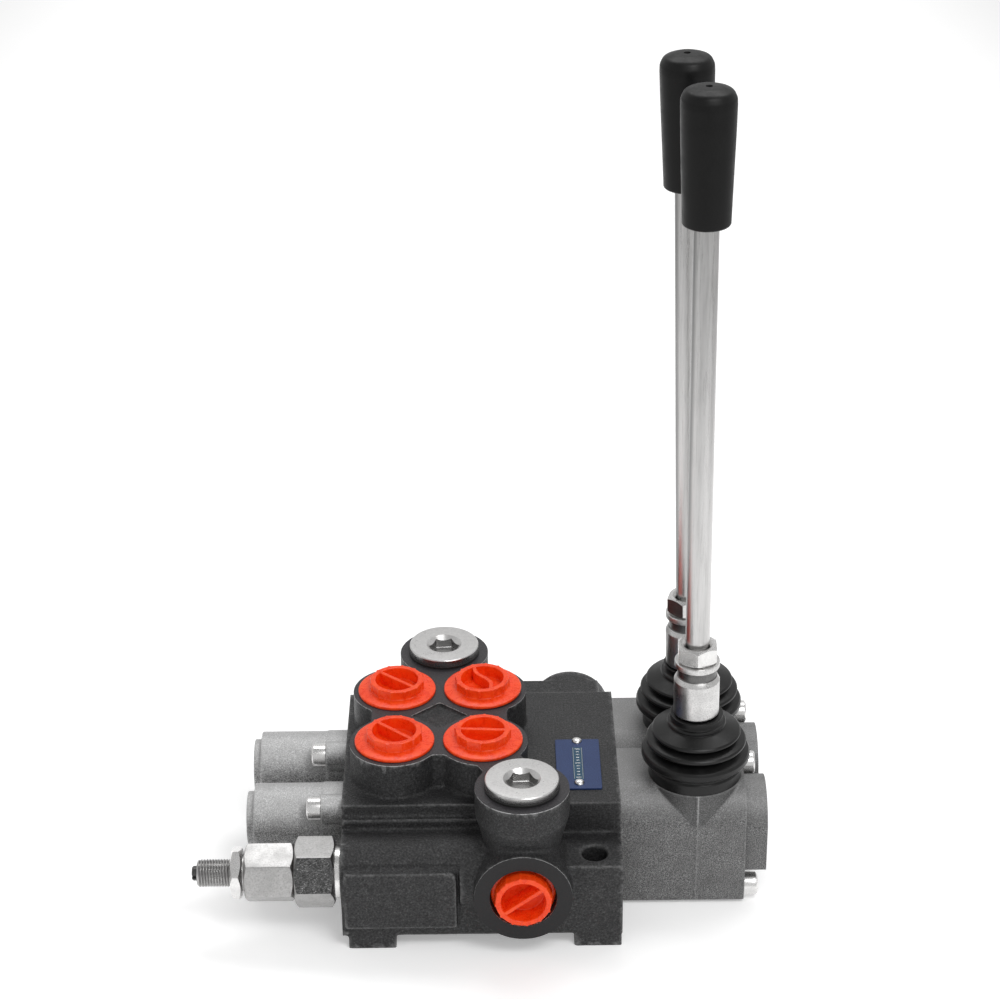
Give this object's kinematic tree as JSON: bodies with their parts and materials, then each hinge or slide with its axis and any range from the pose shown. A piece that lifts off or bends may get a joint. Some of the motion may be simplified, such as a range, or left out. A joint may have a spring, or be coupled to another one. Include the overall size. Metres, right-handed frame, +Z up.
{
  "type": "hydraulic directional control valve",
  "caption": "Monoblock hydraulic directional control valve with hand levers, rubber boots, capped ports, spring covers and a side relief valve.",
  "frame": {"origin": "centre of the two diagonal mounting holes, on the base plane under the feet", "axes": "+X along the spools, from the spring covers to the levers; +Y across the sections, from the inlet side to the outlet side; +Z up"},
  "size_m": [0.2053, 0.133, 0.303],
  "materials": {
    "cast_iron": "rough black paint on a casting",
    "orange_plastic": "semi-gloss moulded",
    "zinc_steel": "zinc plated, satin",
    "seal_rubber": "matte",
    "relief_steel": "zinc plated, satin",
    "plain_steel": "machined",
    "spring_steel": "drawn wire",
    "spool_steel": "ground",
    "die_cast": "grey die cast, matte",
    "rod_steel": "bright plated",
    "knob_plastic": "satin black",
    "boot_rubber": "satin black",
    "plate": "blue, satin",
    "rivet_steel": "bright"
  },
  "bodies": {
    "valve": {"valve_body": "cast_iron", "front_left_port_plug": "orange_plastic", "front_right_port_plug": "orange_plastic", "rear_left_port_plug": "orange_plastic", "rear_right_port_plug": "orange_plastic", "inlet_port_plug": "orange_plastic", "outlet_port_plug": "orange_plastic", "gallery_plugs": "zinc_steel", "gallery_seals": "seal_rubber", "relief_seal": "zinc_steel", "relief_body": "relief_steel", "relief_seat": "plain_steel", "relief_spring": "spring_steel", "relief_cartridge": "relief_steel", "check_seat": "plain_steel", "check_spring": "spring_steel", "spool_seals": "seal_rubber", "front_centring_spring": "spring_steel", "rear_centring_spring": "spring_steel", "stop_rings": "plain_steel", "front_spring_cover": "die_cast", "rear_spring_cover": "die_cast", "cover_screws": "zinc_steel", "front_housing": "die_cast", "rear_housing": "die_cast", "front_end_cap": "die_cast", "rear_end_cap": "die_cast", "housing_screws": "zinc_steel", "pivot_pins": "plain_steel", "front_bellows": "boot_rubber", "rear_bellows": "boot_rubber", "nameplate": "plate", "nameplate_rivets": "rivet_steel"},
    "front_spool_body": {"front_spool": "spool_steel", "front_spring_cup": "plain_steel", "front_spool_bolt": "plain_steel"},
    "rear_spool_body": {"rear_spool": "spool_steel", "rear_spring_cup": "plain_steel", "rear_spool_bolt": "plain_steel"},
    "front_lever": {"front_lever_arm": "zinc_steel", "front_lock_nut": "zinc_steel", "front_rod": "rod_steel", "front_knob": "knob_plastic"},
    "rear_lever": {"rear_lever_arm": "zinc_steel", "rear_lock_nut": "zinc_steel", "rear_rod": "rod_steel", "rear_knob": "knob_plastic"},
    "relief_poppet_body": {"relief_poppet": "plain_steel"},
    "relief_adjuster_body": {"relief_adjuster": "plain_steel"},
    "relief_lock_nut_body": {"relief_lock_nut": "zinc_steel"},
    "check_poppet_body": {"check_poppet": "plain_steel"}
  },
  "joints": [
    {"name": "front_lever_pivot", "type": "hinge", "parent": "valve", "child": "front_lever", "pos_m": [0.0772, -0.0175, 0.046], "axis": [0, 1, 0], "range_deg": [-18, 18], "stiffness_Nm_per_rad": 8, "deforming": ["front_bellows"]},
    {"name": "front_spool_slide", "type": "slide", "parent": "valve", "child": "front_spool_body", "axis": [1, 0, 0], "range_m": [-0.00563, 0.00563], "stiffness_N_per_m": 4000, "deforming": ["front_centring_spring"]},
    {"name": "rear_lever_pivot", "type": "hinge", "parent": "valve", "child": "rear_lever", "pos_m": [0.0772, 0.0175, 0.046], "axis": [0, 1, 0], "range_deg": [-18, 18], "stiffness_Nm_per_rad": 8, "deforming": ["rear_bellows"]},
    {"name": "rear_spool_slide", "type": "slide", "parent": "valve", "child": "rear_spool_body", "axis": [1, 0, 0], "range_m": [-0.00563, 0.00563], "stiffness_N_per_m": 4000, "deforming": ["rear_centring_spring"]},
    {"name": "relief_poppet_lift", "type": "slide", "parent": "valve", "child": "relief_poppet_body", "axis": [-1, 0, 0], "range_m": [0, 0.002], "stiffness_N_per_m": 20000, "deforming": ["relief_spring"]},
    {"name": "relief_adjuster_travel", "type": "slide", "parent": "valve", "child": "relief_adjuster_body", "axis": [1, 0, 0], "range_m": [-0.002, 0.002], "deforming": ["relief_spring"]},
    {"name": "relief_lock_nut_turn", "type": "hinge", "parent": "valve", "child": "relief_lock_nut_body", "pos_m": [-0.0866, -0.048, 0.0254], "axis": [1, 0, 0], "continuous": true},
    {"name": "check_poppet_lift", "type": "slide", "parent": "valve", "child": "check_poppet_body", "axis": [0, 0, 1], "range_m": [0, 0.003], "stiffness_N_per_m": 500, "deforming": ["check_spring"]}
  ],
  "couplings": [
    {"joint": "front_spool_slide", "follows": "front_lever_pivot", "m_per_rad": -0.0179},
    {"joint": "rear_spool_slide", "follows": "rear_lever_pivot", "m_per_rad": -0.0179}
  ]
}
